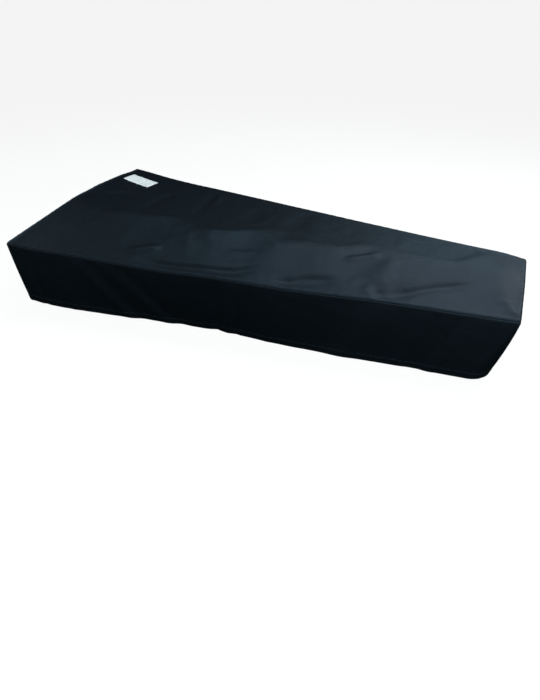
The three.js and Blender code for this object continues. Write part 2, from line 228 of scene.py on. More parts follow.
# %% The fine creases
TOP_CREASES = [
    # the crown's line, where the cloth bends over the raised bars
    ([(-510, -76), (-465, -66), (-400, -54), (-350, -47), (-300, -37), (-262, -29), (-230, -34)],
     12, 40, 3.6),
    ([(-208, -72), (-148, -64), (-98, -54), (-58, -31), (-26, -16), (4, 6), (14, 55)], 14, 40, 4.5),
    ([(20, -52), (100, -36), (150, -29), (200, -15), (235, 8), (290, 24)], 16, 30, 1.2),
    # the front slope, left and middle
    ([(-208, -74), (-158, -146)], 10, 16, 1.0),
    ([(-150, -66), (-94, -140)], 10, 16, 1.0),
    ([(-285, -221), (-200, -216), (-150, -209), (-100, -200), (-50, -190), (-20, -183), (0, -171),
      (20, -160), (64, -136)], 8, 26, -4.4),
    ([(-130, -209), (-98, -193)], 5, 6, -0.8),
    ([(-312, -210), (-280, -190), (-254, -173), (-224, -152)], 12, 14, 2.6),
    ([(-72, -124), (-30, -116), (10, -107)], 9, 12, 1.8),
    ([(0, -42), (25, -60), (52, -78)], 8, 8, 0.8),
    ([(68, -194), (120, -174), (150, -157), (200, -142), (245, -131)], 10, 28, -3.2),
    ([(250, -150), (266, -108)], 7, 9, 0.8),
    # the back zone
    ([(-256, 222), (-224, 100)], 12, 12, 2.2),
    ([(-45, 140), (-42, 10)], 12, 12, 0.9),
    ([(-575, 56), (-498, 104)], 10, 10, 1.5),
    ([(-560, 36), (-486, 76)], 10, 10, -1.5),
    ([(326, 10), (318, 165)], 14, 24, 1.5),
    # the right part: an arched crest round a funnel that runs down to the dimple
    ([(204, -72), (238, -51), (264, -33), (306, -6)], 9, 14, 2.4),
    ([(285, 2), (320, 8), (385, 8), (450, 13), (482, 34)], 17, 30, 1.1),
    ([(334, -148), (380, -124), (404, -108), (434, -90), (466, -72), (526, -42)], 8, 13, -3.2),
    ([(288, -130), (312, -180)], 12, 15, 3.0),
    ([(316, -136), (338, -178)], 14, 10, -3.0),
    # the ends, where the cloth rises to its seams
    ([(-604, -296), (-603, -150), (-603, 10)], 7, 9, 3.0),
    ([(572, -72), (588, -100), (608, -134)], 7, 8, 1.6),
]


def top_height(x, y, fine=True):
    half = half_depth(x)
    front, crown_y, crown, back = (section(k, x) for k in (1, 2, 3, 4))
    front_slope = front + (crown - front) * (y + half) / (crown_y + half)
    back_slope = back + (crown - back) * (half - y) / (half - crown_y)
    calm = np.clip((half - np.abs(y)) / CALM_EDGE, -1, 1)
    folds = sum(fold_height(*fold, x, y) for fold in TOP_FOLDS) * calm
    if fine:
        folds = folds + sum(fold_height(*fold, x, y) for fold in TOP_CREASES) * np.clip(calm, 0, 1)
    edges = [(y + half) * math.cos(TAPER), (half - y) * math.cos(TAPER)]
    edges += [LENGTH / 2 - x, LENGTH / 2 + x]
    rolled = sum(roll_fall(distance) for distance in edges)
    return smooth_min(front_slope, back_slope, CROWN_BLEND) + folds - rolled


DATUM = float(top_height(np.zeros(1), np.zeros(1), fine=False)[0]) - CLOTH
print("the table's zero lies", round(DATUM, 3), "mm from the frame's")

# %% [markdown]
# ## The walls in plan
#
# Each wall hangs from its edge and its hem swings in underneath. Neighbouring walls meet in a
# rounded corner, tight at the top seam and wider at the hem, and the seam between them lies halfway
# round. These helpers find a point on the plan of such a corner at any level.

# %% Corners of the plan
CORNERS = np.array([
    (-LENGTH / 2, -WIDE_DEPTH / 2), (LENGTH / 2, -NARROW_DEPTH / 2),
    (LENGTH / 2, NARROW_DEPTH / 2), (-LENGTH / 2, WIDE_DEPTH / 2),
])
HEM_ROUND = [18.0, 56.0, 34.0, 18.0]


def wall_direction(i):
    run = CORNERS[(i + 1) % 4] - CORNERS[i]
    return run / np.hypot(*run)


def turn_inward(direction):
    return np.array([-direction[1], direction[0]])


def inside_corner(i, inset_before, inset_after):
    before, after = turn_inward(wall_direction(i - 1)), turn_inward(wall_direction(i))
    lean = before @ after
    along_before = (inset_before - lean * inset_after) / (1 - lean**2)
    along_after = (inset_after - lean * inset_before) / (1 - lean**2)
    return CORNERS[i] + along_before[..., None] * before + along_after[..., None] * after


def corner_arc(i, inset_before, inset_after, radius, share):
    before, after = turn_inward(wall_direction(i - 1)), turn_inward(wall_direction(i))
    centre = inside_corner(i, inset_before + radius, inset_after + radius)
    turn = math.acos(before @ after) * share
    cos, sin = np.cos(turn), np.sin(turn)
    outward = -np.stack([before[0] * cos - before[1] * sin, before[0] * sin + before[1] * cos], -1)
    return centre + radius[..., None] * outward


print("corner angles:", [round(math.degrees(math.acos(
    turn_inward(wall_direction(i - 1)) @ turn_inward(wall_direction(i)))), 1) for i in range(4)])

# %% [markdown]
# ## The walls' folds
#
# A fold of a wall runs from a place at the edge to a place at the hem, both counted along the wall,
# and it stands out, or in below zero. The sway is how much further in the hem swings at a share of
# the way along. The broad rows are the solid's own; the creases after them are finer.

# %% The four walls
WALLS = [
    {
        "name": "front_skirt", "swing": 10,
        "sway": [(0, 0), (0.1, 1), (0.2, 8), (0.27, 18), (0.35, 26), (0.44, 24), (0.52, 21),
                 (0.6, 15), (0.7, 7), (0.78, 2), (0.9, 2), (1, 0)],
        "folds": [  # edge, hem, width to the left, width to the right, out
            (180, 315, 22, 22, 3.5), (228, 350, 20, 20, -2), (262, 428, 24, 24, 3.5),
            (310, 466, 22, 22, -3), (570, 570, 18, 18, -4), (962, 922, 34, 34, 4),
            (1088, 1100, 22, 22, -3),
        ],
        "creases": [
            (50, 46, 7, 8, -2.2), (128, 140, 12, 16, 1.5), (573, 573, 7, 9, -2.2),
            (612, 606, 9, 8, 1.8), (628, 632, 8, 7, -1.8), (760, 720, 14, 20, 1.4),
            (1128, 1120, 9, 9, -1.4), (1150, 1148, 10, 12, 1.2),
        ],
    },
    {
        "name": "narrow_end_skirt", "swing": 25,
        "sway": [(0, 0), (0.5, 4), (1, 0)],
        "folds": [(120, 150, 30, 30, 5)],
        "creases": [],
    },
    {
        "name": "back_skirt", "swing": 12,
        "sway": [(0, 0), (0.3, 8), (0.6, 3), (0.8, 10), (1, 0)],
        "folds": [(240, 225, 32, 32, 6), (520, 560, 30, 30, 7), (600, 640, 26, 26, -4),
                  (930, 900, 34, 34, 6)],
        "creases": [],
    },
    {
        "name": "wide_end_skirt", "swing": 5,
        "sway": [(0, 0), (0.35, 8), (0.7, 4), (1, 0)],
        "folds": [(190, 165, 30, 30, 5), (400, 430, 28, 28, 5)],
        "creases": [],
    },
]


def wall_length(i):
    inset = np.full(1, SEAM_INSET)
    radius = np.full(1, CORNER_ROUND)
    start = corner_arc(i, inset, inset, radius, np.ones(1))[0]
    end = corner_arc((i + 1) % 4, inset, inset, radius, np.zeros(1))[0]
    return float(np.hypot(*(end - start)))


def wall_fold(fold, place, down):
    edge, hem, left, right, out = fold
    offset = edge + (hem - edge) * down - place
    width = np.where(offset > 0, left, right)
    return out * np.exp(-((offset / width) ** 2)) * np.sqrt(np.maximum(down - FOLD_START, 0))


def wall_plan(i, fall, inset, arc, share):
    """Points of a wall in plan. arc is -1 in the first corner, 1 in the last and 0 between them."""
    wall, after_wall = WALLS[i], WALLS[(i + 1) % 4]
    down = fall / SKIRT_DROP
    swung = down**SWING_CURVE
    own = inset + wall["swing"] * swung
    before = inset + WALLS[i - 1]["swing"] * swung
    after = inset + after_wall["swing"] * swung
    first_round = CORNER_ROUND + (HEM_ROUND[i] - CORNER_ROUND) * down
    last_round = CORNER_ROUND + (HEM_ROUND[(i + 1) % 4] - CORNER_ROUND) * down
    first = corner_arc(i, before, own, first_round, np.where(arc < 0, share, 1.0))
    last = corner_arc((i + 1) % 4, own, after, last_round, np.where(arc > 0, share, 0.0))
    flat = first + (last - first) * share[..., None]
    length = wall_length(i)
    table = np.array(wall["sway"], float)
    sway = smooth_curve(table[:, 0], table[:, 1], share) * swung
    folds = sum(wall_fold(f, share * length, down) for f in wall["folds"] + wall["creases"])
    flat = flat + turn_inward(wall_direction(i)) * (sway - folds)[..., None]
    return np.where((arc < 0)[..., None], first, np.where((arc > 0)[..., None], last, flat))


def wall_points(i, fall, inset, arc, share):
    """Points of a wall's outer face, in millimetres of the table."""
    at_seam = np.full(np.shape(share), SEAM_FALL), np.full(np.shape(share), SEAM_INSET)
    edge = wall_plan(i, *at_seam, arc, share)
    plan = wall_plan(i, fall, inset, arc, share)
    height = top_height(edge[..., 0], edge[..., 1], fine=False) + SEAM_FALL - fall
    return np.concatenate([plan, height[..., None]], axis=-1)


print("walls:", [(w["name"], round(wall_length(i))) for i, w in enumerate(WALLS)])

# %% [markdown]
# ## From a flat grid to a hanging cloth
#
# Each cloth starts as Blender's own grid, which is then laid out in place, row by row and column by
# column, as a cutter lays cloth over a form. The grid lines stand close together at the seams,
# where the cloth turns sharply. The cloth's threads follow the same grid, so the UV map holds the
# place on the cloth in metres, and the weave is drawn from that.

# %% Laying a grid out
def spread(start, *stretches):
    """Places along a line from start: each stretch is (where it ends, step)."""
    places = [start]
    for end, step in stretches:
        begin = places[-1]
        count = max(1, round(abs(end - begin) / step))
        places += [begin + (end - begin) * k / count for k in range(1, count + 1)]
    return np.array(places)


def lay_cloth(name, points, flat, wear_and_highlight):
    """The three arrays are rows of columns: places in millimetres, places on the flat cloth, and
    how much paler each spot is painted, from 0 to 1, as wear from handling and as a painted
    highlight along the top's seams and inside the wide end."""
    rows, columns = points.shape[:2]
    bm = bmesh.new()
    bmesh.ops.create_grid(bm, x_segments=columns - 1, y_segments=rows - 1, size=1)
    index = np.array([
        round((vert.co.y + 1) / 2 * (rows - 1)) * columns
        + round((vert.co.x + 1) / 2 * (columns - 1))
        for vert in bm.verts
    ])
    mesh = bpy.data.meshes.new(name)
    bm.to_mesh(mesh)
    bm.free()
    placed = points.reshape(-1, 3)[index] - np.array([0, 0, DATUM])
    mesh.vertices.foreach_set("co", (placed * MM).ravel())
    corner = np.empty(len(mesh.loops), dtype=np.int32)
    mesh.loops.foreach_get("vertex_index", corner)
    uv = mesh.uv_layers.new(name="on_cloth")
    uv.data.foreach_set("uv", (flat.reshape(-1, 2)[index][corner] * MM).ravel())
    wear = mesh.attributes.new("wear_and_highlight", "FLOAT", "POINT")
    wear.data.foreach_set("value", np.asarray(wear_and_highlight, float).ravel()[index])
    mesh.update()
    mesh.shade_smooth()
    piece = bpy.data.objects.new(name, mesh)
    bpy.context.scene.collection.objects.link(piece)
    print(name, rows, "x", columns, "grid lines")
    return piece


def unit(vectors):
    return vectors / np.maximum(np.linalg.norm(vectors, axis=-1, keepdims=True), 1e-9)


# %% [markdown]
# ## The seams' own shape
#
# Two cloths are sewn with their good sides together, and both edges then turn to the inside. So a
# seam is a narrow valley whose two sides run on inwards as the allowance. On the top's side the
# allowance lies flat under the cloth and lifts it a little. Thread pulls the cloth into small
# ripples on both sides of the line.

# %% The seam's valley, lift and ripples
SEAM_DEPTH = 0.6
SEAM_WIDTH = 1.3
SEAM_LIFT = 0.5                # how far the allowance under the top lifts it
ALLOWANCE = 8.0
ALLOWANCE_EDGE = 0.9           # softness of the step where the allowance ends
TURN_IN = [2.0, ALLOWANCE]     # depths of the two extra grid lines inside a seam
RIPPLE_REACH = 13.0            # how far from the thread its ripples fade
UNEVEN_FROM = 30.0             # how far from a seam the cloth's slow unevenness is whole


def seam_shape(distance, lift=0.0):
    """The valley at a seam, and the step up on the allowance, at a distance from the seam."""
    valley = -SEAM_DEPTH * np.exp(-((distance / SEAM_WIDTH) ** 2))
    step = 1 / (1 + np.exp((distance - ALLOWANCE - 1) / ALLOWANCE_EDGE))
    return valley + lift * step


def ripples(along, distance, seed, height=0.22, length=17.0):
    """Small uneven waves along a row of thread, highest on it."""
    dice = np.random.default_rng(seed)
    wave = np.zeros(np.shape(along))
    for k in range(5):
        wave += np.sin(2 * math.pi * along / (length * dice.uniform(0.7, 1.6))
                       + dice.uniform(0, 6.3) + 0.8 * np.sin(along / (length * 2.7)))
    near = np.exp(-((distance / RIPPLE_REACH) ** 2))
    return height / 2.2 * wave * near


def slow_waves(u, v, size, seed):
    """A soft, uneven field between about -1 and 1, the same on every run."""
    dice = np.random.default_rng(seed)
    field = np.zeros(np.shape(u))
    for _ in range(14):
        turn = dice.uniform(0, 2 * math.pi)
        length = size * dice.uniform(0.7, 2.2)
        phase = dice.uniform(0, 2 * math.pi)
        wobble = dice.uniform(0.5, 1.5) * np.sin(
            2 * math.pi * (u * math.sin(turn) - v * math.cos(turn)) / (length * 2.3) + phase * 2)
        field += np.sin(2 * math.pi * (u * math.cos(turn) + v * math.sin(turn)) / length + phase
                        + wobble)
    return field / 5.0


# %% [markdown]
# ## The top cloth
#
# The top is one sheet out to its seam, halfway round the bend, and its allowance. It replaces the
# solid top. It is painted a little pale along the seams, partly as wear from handling and partly as
# a painted highlight, and paler in a band inside the wide end, which is a painted highlight.

# %% The top's outer face
def top_face(x, y):
    """Points of the finished outer face of the top, and the directions out of the cloth there."""
    def base(px, py):
        return np.stack([px, py, top_height(px, py)], axis=-1)

    out = unit(np.cross(base(x + 0.4, y) - base(x - 0.4, y), base(x, y + 0.4) - base(x, y - 0.4)))
    long_edge = (half_depth(x) - np.abs(y)) * math.cos(TAPER) - SEAM_INSET - SEAM_GAP / 2
    end_edge = LENGTH / 2 - np.abs(x) - SEAM_INSET - SEAM_GAP / 2
    seam = np.maximum(np.minimum(long_edge, end_edge), 0)
    shape = seam_shape(seam, SEAM_LIFT)
    shape = shape + ripples(x, long_edge, 31) + ripples(y, end_edge, 32)
    shape = shape + 0.35 * slow_waves(x, y, 60, 11) * np.clip(seam / UNEVEN_FROM, 0, 1)
    return base(x, y) + out * shape[..., None], out


# %% Build the top cloth
# The pale line along the seams is partly wear and partly a painted highlight; the pale band inside
# the wide end is a painted highlight.
SEAM_WEAR_AND_HIGHLIGHT = 0.2
END_HIGHLIGHT_BAND, END_HIGHLIGHT_WIDTH = 9.0, 5.0     # the pale band's distance from the wide end, and half width


def top_lines():
    """The grid's places along and across: close together at the seams, even between them."""
    end = LENGTH / 2 - SEAM_INSET - SEAM_GAP / 2
    columns = spread(-end, (-end + 2.4, 0.6), (-end + 12, 1.6), (end - 12, 4.2), (end - 2.4, 1.6),
                     (end, 0.6))
    reach = WIDE_DEPTH / 2 - SEAM_INSET
    near = 14.0
    lines = spread(-reach, (-reach + 2.8, 0.7), (-reach + near, 1.9), (reach - near, 4.6),
                   (reach - 2.8, 1.9), (reach, 0.7))[:, None]
    # The outermost lines keep their distance from the edge, and the ones between share the rest.
    edge = half_depth(columns) - (SEAM_INSET + SEAM_GAP / 2) / math.cos(TAPER)
    outer = np.sign(lines) * (edge - (reach - np.abs(lines)))
    y = np.where(np.abs(lines) > reach - near, outer, lines * (edge - near) / (reach - near))
    return np.broadcast_to(columns, y.shape).copy(), y


def turn_in(points, out, flat, wear_and_highlight, row_sides=(0, -1), column_sides=(0, -1)):
    """Adds the allowance: two more grid lines on each of these sides, straight into the cover."""
    flat = np.concatenate([flat, wear_and_highlight[..., None]], axis=-1)
    for axis, sides in ((0, row_sides), (1, column_sides)):
        for side in sides:
            edge = np.take(points, [side], axis=axis)
            edge_out = np.take(out, [side], axis=axis)
            edge_flat = np.take(flat, [side], axis=axis)
            for depth in TURN_IN:
                more = edge - edge_out * depth
                pair = (points, more) if side == -1 else (more, points)
                points = np.concatenate(pair, axis=axis)
                pair = (out, edge_out) if side == -1 else (edge_out, out)
                out = np.concatenate(pair, axis=axis)
                pair = (flat, edge_flat) if side == -1 else (edge_flat, flat)
                flat = np.concatenate(pair, axis=axis)
    return points, flat[..., :2], flat[..., 2]


def build_top():
    x, y = top_lines()
    # The corners are cut back to sit inside the skirt's round ones.
    inset = np.full(1, SEAM_INSET + SEAM_GAP)
    for i, (row, column) in enumerate([(0, 0), (0, -1), (-1, -1), (-1, 0)]):
        spot = corner_arc(i, inset, inset, np.full(1, CORNER_ROUND), np.full(1, 0.5))[0]
        x[row, column], y[row, column] = spot
    points, out = top_face(x, y)
    to_seam = np.minimum(half_depth(x) - np.abs(y), LENGTH / 2 - np.abs(x)) - SEAM_INSET
    # Painted paler along the seam, as wear and painted highlight, and in a painted highlight band
    # inside the wide end.
    wear_and_highlight = SEAM_WEAR_AND_HIGHLIGHT * np.exp(-((np.maximum(to_seam - 1.5, 0) / 2.5) ** 2))
    to_highlight_band = x + LENGTH / 2 - END_HIGHLIGHT_BAND
    wear_and_highlight = np.maximum(wear_and_highlight, np.exp(-((to_highlight_band / END_HIGHLIGHT_WIDTH) ** 2)))
    return lay_cloth("top_cloth", *turn_in(points, out, np.stack([x, y], axis=-1), wear_and_highlight))


top_cloth = build_top()

# %% [markdown]
# ## The skirt's four cloths
#
# A wall is laid out from its hem up, corner to corner. A place on it is its distance up the cloth
# from the hem's edge, first straight up the wall and then round the bend to the seam. The hem is
# folded to the inside, so the cloth is double there, and the row of stitches that holds the fold
# draws the outer face in a little.

# %% The walls' outer faces
CORNER_RUN = 25.0              # length of cloth taken round each corner
HEM_PULL = 0.4                 # how far the stitches draw the hem's top in
HEM_SWELL = 0.45               # how far the double cloth of the hem stands out
STRAIGHT = SKIRT_DROP - EDGE_ROLL
WALL_TOP = STRAIGHT + (math.pi / 2 - SEAM_TURN) * EDGE_ROLL - SEAM_GAP


def wall_base(i, up, arc, share):
    turn = math.pi / 2 - np.maximum(up - STRAIGHT, 0) / EDGE_ROLL
    fall = np.where(up > STRAIGHT, EDGE_ROLL * (1 - np.cos(turn)), SKIRT_DROP - up)
    inset = np.where(up > STRAIGHT, EDGE_ROLL * (1 - np.sin(turn)), 0.0)
    return wall_points(i, fall, inset, arc, share)


def wall_face(i, up, arc, share):
    """Points of the finished outer face of a wall, and the directions out of the cloth there."""
    along = unit(wall_base(i, up, arc, share + 0.0005) - wall_base(i, up, arc, share - 0.0005))
    rise = unit(wall_base(i, up + 0.3, arc, share) - wall_base(i, up - 0.3, arc, share))
    out = unit(np.cross(along, rise))
    points = wall_base(i, up, arc, share)
    length = wall_length(i)
    place = np.where(arc > 0, length + share * CORNER_RUN, share * length)
    place = np.where(arc < 0, (share - 1) * CORNER_RUN, place)
    to_corner = np.minimum(place, length - place) + CORNER_RUN / 2
    nearest = np.maximum(np.minimum(WALL_TOP - up, to_corner), 0)
    band = 1 / (1 + np.exp((up - HEM_WIDTH) / 1.1))
    pull = np.exp(-(((up - HEM_WIDTH + 2) / 1.5) ** 2))
    shape = seam_shape(nearest) + HEM_SWELL * band - HEM_PULL * pull
    shape = shape + ripples(place, WALL_TOP - up, 41 + i) + ripples(place, up - HEM_WIDTH, 51 + i)
    shape = shape + 0.4 * slow_waves(place, up, 70, 21 + i) * np.clip(nearest / UNEVEN_FROM, 0, 1)
    return points + out * shape[..., None], out, place


# %% Build the walls
HEM_RUB = 0.5
HEM_FOLD = [  # up the cloth from the hem's edge, and how deep inside the outer face
    (HEM_WIDTH, 3.3), (15, 3.3), (10, 3.3), (5, 3.3), (2, 3.3), (0.9, 3.1), (0.25, 2.5), (0, 1.65),
    (0.25, 0.8), (0.9, 0.2),
]


def wall_columns(i):
    length = wall_length(i)
    round_corner = np.array([0.5, 0.515, 0.535, 0.56, 0.6, 0.66, 0.74, 0.82, 0.91])
    middle = spread(0.0, (1.0, 4.0 / length))
    share = np.concatenate([round_corner, middle, 1 - round_corner[::-1]])
    arc = np.repeat([-1, 0, 1], [len(round_corner), len(middle), len(round_corner)])
    return share, arc


def build_wall(i):
    share, arc = wall_columns(i)
    outer = spread(1.9, (HEM_WIDTH - 5, 3.2), (HEM_WIDTH + 2, 0.9), (STRAIGHT, 4.0),
                   (WALL_TOP - 3, 1.6), (WALL_TOP, 0.6))
    up = np.concatenate([[fold[0] for fold in HEM_FOLD], outer])
    depth = np.concatenate([[fold[1] for fold in HEM_FOLD], np.zeros(len(outer))])
    shape = (len(up), len(share))
    up, depth, arc, share = (np.broadcast_to(a, shape).astype(float) for a in
                             (up[:, None], depth[:, None], arc[None, :], share[None, :]))
    points, out, place = wall_face(i, up, arc, share)
    points = points - out * depth[..., None]
    on_cloth = np.where(depth > 1.65, -up, up)
    wear_and_highlight = HEM_RUB * np.exp(-((up / 2.5) ** 2))
    cloth = turn_in(points, out, np.stack([place, on_cloth], axis=-1), wear_and_highlight, row_sides=(-1,))
    return lay_cloth(WALLS[i]["name"].replace("skirt", "cloth"), *cloth)


wall_cloths = [build_wall(i) for i in range(4)]

# %% [markdown]
# ## Thickness
#
# Coated polyester is thin, and the solids take it as 1.5 mm. A Solidify modifier gives the sheet
# its inner face and its cut edges.

# %% Give the cloths their thickness
def thicken(piece, thickness):
    solid = piece.modifiers.new("thickness", "SOLIDIFY")
    solid.thickness = thickness * MM
    solid.offset = -1
    solid.use_even_offset = False
    return piece


for piece in [top_cloth, *wall_cloths]:
    thicken(piece, CLOTH)

# %% [markdown]
# ## The sewn label
#
# A white woven label is sewn on near the back corner of the wide end. It follows the top under it,
# which pulls it a little out of square. Its row of stitches draws it down inside its edge.

# %% Build the label
LABEL = {"length": 104, "width": 53, "thickness": 0.8, "centre": (-532, 190), "turn": -0.2,
         "skew": -0.14}
LABEL_ROW = 2.2          # the stitches' distance inside the label's edge
LABEL_OVER = 0.9         # between the top's own surface and the label's underside


def label_face(u, v):
    """Points of the label's outer face, from places on the label."""
    turn, along = LABEL["turn"], u + LABEL["skew"] * v
    x = LABEL["centre"][0] + along * math.cos(turn) - v * math.sin(turn)
    y = LABEL["centre"][1] + along * math.sin(turn) + v * math.cos(turn)
    edge = np.minimum(LABEL["length"] / 2 - np.abs(u), LABEL["width"] / 2 - np.abs(v))
    lift = LABEL["thickness"] + LABEL_OVER - 0.5 * np.exp(-(((edge - LABEL_ROW) / 1.3) ** 2))
    lift = lift + 0.25 * slow_waves(u, v, 30, 5) - 0.35 * np.exp(-((edge / 1.0) ** 2))
    return np.stack([x, y, top_height(x, y) + lift], axis=-1)


def build_label():
    length, width = LABEL["length"], LABEL["width"]
    across = spread(-length / 2, (-length / 2 + 4, 0.7), (length / 2 - 4, 2.5), (length / 2, 0.7))
    up = spread(-width / 2, (-width / 2 + 4, 0.7), (width / 2 - 4, 2.5), (width / 2, 0.7))
    u, v = np.meshgrid(across, up)
    return lay_cloth("label_cloth", label_face(u, v), np.stack([u, v], axis=-1), 0 * u)


label = thicken(build_label(), LABEL["thickness"])

# %% [markdown]
# ## The rows of stitches
#
# One row of lockstitch, dark as the cloth, holds the folded hem, and a pale row holds the label.
# Every stitch is a short, plump ellipsoid that lies half sunk in the cloth, 2.5 mm of each 3.2 mm
# step. They are placed along a line on the cloth at even distances, so they follow every fold.

# %% Sewing a row
RUN = 40     # stitches


def even_steps(points, out, pitch):
    """Stitch places along a line: their middles, the way the row runs, and the way out."""
    steps = np.linalg.norm(np.diff(points, axis=0), axis=1)
    passed = np.concatenate([[0], np.cumsum(steps)])
    at = np.arange(pitch / 2, passed[-1], pitch)
    middles = np.stack([np.interp(at, passed, points[:, k]) for k in range(3)], axis=1)
    ahead = np.stack([np.interp(at + 0.5, passed, points[:, k]) for k in range(3)], axis=1)
    behind = np.stack([np.interp(at - 0.5, passed, points[:, k]) for k in range(3)], axis=1)
    outward = np.stack([np.interp(at, passed, out[:, k]) for k in range(3)], axis=1)
    return middles, unit(ahead - behind), unit(outward)


def sew_row(name, line, pitch, length, width, height):
    """The row is sewn in short runs, because many short ones are made faster than one long one."""
    stitches = list(zip(*even_steps(*line, pitch)))
    mesh = bpy.data.meshes.new(name)
    row = bmesh.new()
    for start in range(0, len(stitches), RUN):
        bm = bmesh.new()
        for middle, run, outward in stitches[start:start + RUN]:
            side = np.cross(outward, run)
            turned = Matrix((run * length / 2, side * width / 2, outward * height / 2))
            placed = Matrix.Translation((middle - [0, 0, DATUM]) * MM) @ (
                turned.transposed().to_4x4() @ Matrix.Diagonal((MM, MM, MM, 1)))
            bmesh.ops.create_uvsphere(bm, u_segments=6, v_segments=4, radius=1, matrix=placed)
        bmesh.ops.recalc_face_normals(bm, faces=bm.faces)
        bm.to_mesh(mesh)
        bm.free()
        row.from_mesh(mesh)
    row.to_mesh(mesh)
    row.free()
    mesh.shade_smooth()
    piece = bpy.data.objects.new(name, mesh)
    bpy.context.scene.collection.objects.link(piece)
    print(name, len(stitches), "stitches")
    return piece


# %% The hem's row and the label's row
HEM_ROW = HEM_WIDTH - 2


def hem_line(i):
    corner = np.linspace(0.5, 1.0, 12)
    middle = np.linspace(0.0, 1.0, 500)[1:-1]
    share = np.concatenate([corner, middle, 1 - corner[::-1]])
    arc = np.repeat([-1, 0, 1], [len(corner), len(middle), len(corner)])
    points, out, _ = wall_face(i, np.full(len(share), HEM_ROW), arc, share)
    return points, out


def label_line():
    """Round the label, a little inside its edge, on its own outer face."""
    u, v = LABEL["length"] / 2 - LABEL_ROW, LABEL["width"] / 2 - LABEL_ROW
    corners = [(-u, -v), (u, -v), (u, v), (-u, v), (-u, -v)]
    line = np.concatenate([np.linspace(a, b, 30) for a, b in zip(corners, corners[1:])])
    points = label_face(line[:, 0], line[:, 1])
    return points, np.broadcast_to([0.0, 0.0, 1.0], points.shape)


# pitch, length, width and height of a stitch
HEM_STITCH = (3.2, 2.5, 0.7, 0.6)
LABEL_STITCH = (2.6, 1.9, 0.5, 0.5)
hem_stitches = [sew_row(wall["name"].replace("skirt", "hem_stitches"), hem_line(i), *HEM_STITCH)
                for i, wall in enumerate(WALLS)]
label_stitches = sew_row("label_stitches", label_line(), *LABEL_STITCH)

# %% [markdown]
# ## Finishes
#
# There are four materials: the coated cloth, the label's cloth and two threads. Each starts from
# one plain shader on an empty node tree, and its own function adds the pattern.

# %% A node helper
def new_material(name):
    material = bpy.data.materials.new(name)
    material.use_nodes = True
    nodes, links = material.node_tree.nodes, material.node_tree.links
    nodes.clear()
    shader = nodes.new("ShaderNodeBsdfPrincipled")
    output = nodes.new("ShaderNodeOutputMaterial")
    links.new(shader.outputs["BSDF"], output.inputs["Surface"])
    return material, nodes, links, shader


# %% [markdown]
# ## Coated polyester
#
# The cover is plain-woven polyester with a thin coat inside. Its threads are about 0.8 mm apart,
# over and under by turns, so from near by it has a fine square grain and from far off a dull, soft
# sheen. The weave is worked out from the UV map, so it follows each cloth round its folds. Two slow
# noises vary the colour and the shine. A paler navy is mixed in: at the hem's edge as wear, along
# the top's seams partly as wear and partly as a painted highlight, and inside the wide end as a
# painted highlight.

# %% Node helpers for patterns
def maths(nodes, links, operation, *inputs):
    node = nodes.new("ShaderNodeMath")
    node.operation = operation
    for socket, value in zip(node.inputs, inputs):
        if isinstance(value, (int, float)):
            socket.default_value = value
        else:
            links.new(value, socket)
    return node.outputs[0]


def cloth_place(nodes, links):
    """The place on the cloth, along and across, in metres."""
    uv = nodes.new("ShaderNodeUVMap")
    uv.uv_map = "on_cloth"
    split = nodes.new("ShaderNodeSeparateXYZ")
    links.new(uv.outputs["UV"], split.inputs["Vector"])
    return uv.outputs["UV"], split.outputs["X"], split.outputs["Y"]


def plain_weave(nodes, links, u, v, pitch):
    """The height of a plain weave, from 0 in its holes to 1 on its threads."""
    wave_u = maths(nodes, links, "SINE", maths(nodes, links, "MULTIPLY", u, math.pi / pitch))
    wave_v = maths(nodes, links, "SINE", maths(nodes, links, "MULTIPLY", v, math.pi / pitch))
    warp = maths(nodes, links, "ABSOLUTE", wave_u)
    weft = maths(nodes, links, "ABSOLUTE", wave_v)
    both = maths(nodes, links, "MULTIPLY", wave_u, wave_v)
    warp_up = maths(nodes, links, "GREATER_THAN", both, 0)
    over = maths(nodes, links, "MULTIPLY", warp, maths(nodes, links, "SQRT", weft))
    under = maths(nodes, links, "MULTIPLY", weft, maths(nodes, links, "SQRT", warp))
    mix = nodes.new("ShaderNodeMix")
    links.new(warp_up, mix.inputs["Factor"])
    links.new(under, mix.inputs["A"])
    links.new(over, mix.inputs["B"])
    return mix.outputs["Result"]


def noise(nodes, links, place, scale, detail=2.0):
    node = nodes.new("ShaderNodeTexNoise")
    node.inputs["Scale"].default_value = scale
    node.inputs["Detail"].default_value = detail
    links.new(place, node.inputs["Vector"])
    return node.outputs["Fac"]


def stretch(nodes, links, value, low, high):
    """Turns 0 to 1 into low to high."""
    node = nodes.new("ShaderNodeMapRange")
    node.inputs["To Min"].default_value = low
    node.inputs["To Max"].default_value = high
    links.new(value, node.inputs["Value"])
    return node.outputs["Result"]


def blend_colours(nodes, links, share, first, second):
    node = nodes.new("ShaderNodeMix")
    node.data_type = "RGBA"
    links.new(share, node.inputs["Factor"])
    for name, colour in (("A", first), ("B", second)):
        socket = next(i for i in node.inputs if i.name == name and i.type == "RGBA")
        if isinstance(colour, tuple):
            socket.default_value = colour
        else:
            links.new(colour, socket)
    return next(o for o in node.outputs if o.type == "RGBA")


def relief(nodes, links, shader, *layers):
    """Bump nodes one on another: each layer is (height, how high it stands in metres)."""
    normal = None
    for height, distance in layers:
        bump = nodes.new("ShaderNodeBump")
        bump.inputs["Distance"].default_value = distance
        links.new(height, bump.inputs["Height"])
        if normal is not None:
            links.new(normal, bump.inputs["Normal"])
        normal = bump.outputs["Normal"]
    links.new(normal, shader.inputs["Normal"])


# %% The coated cloth
THREAD_PITCH = 0.0008
NAVY_DARK = (0.0005, 0.0008, 0.0011, 1)
NAVY = (0.0009, 0.0014, 0.0019, 1)
# A paler navy: wear at the seams and the hem, and a painted highlight along the top's seams and
# inside the wide end.
WEAR_AND_HIGHLIGHT_NAVY = (0.012, 0.016, 0.022, 1)


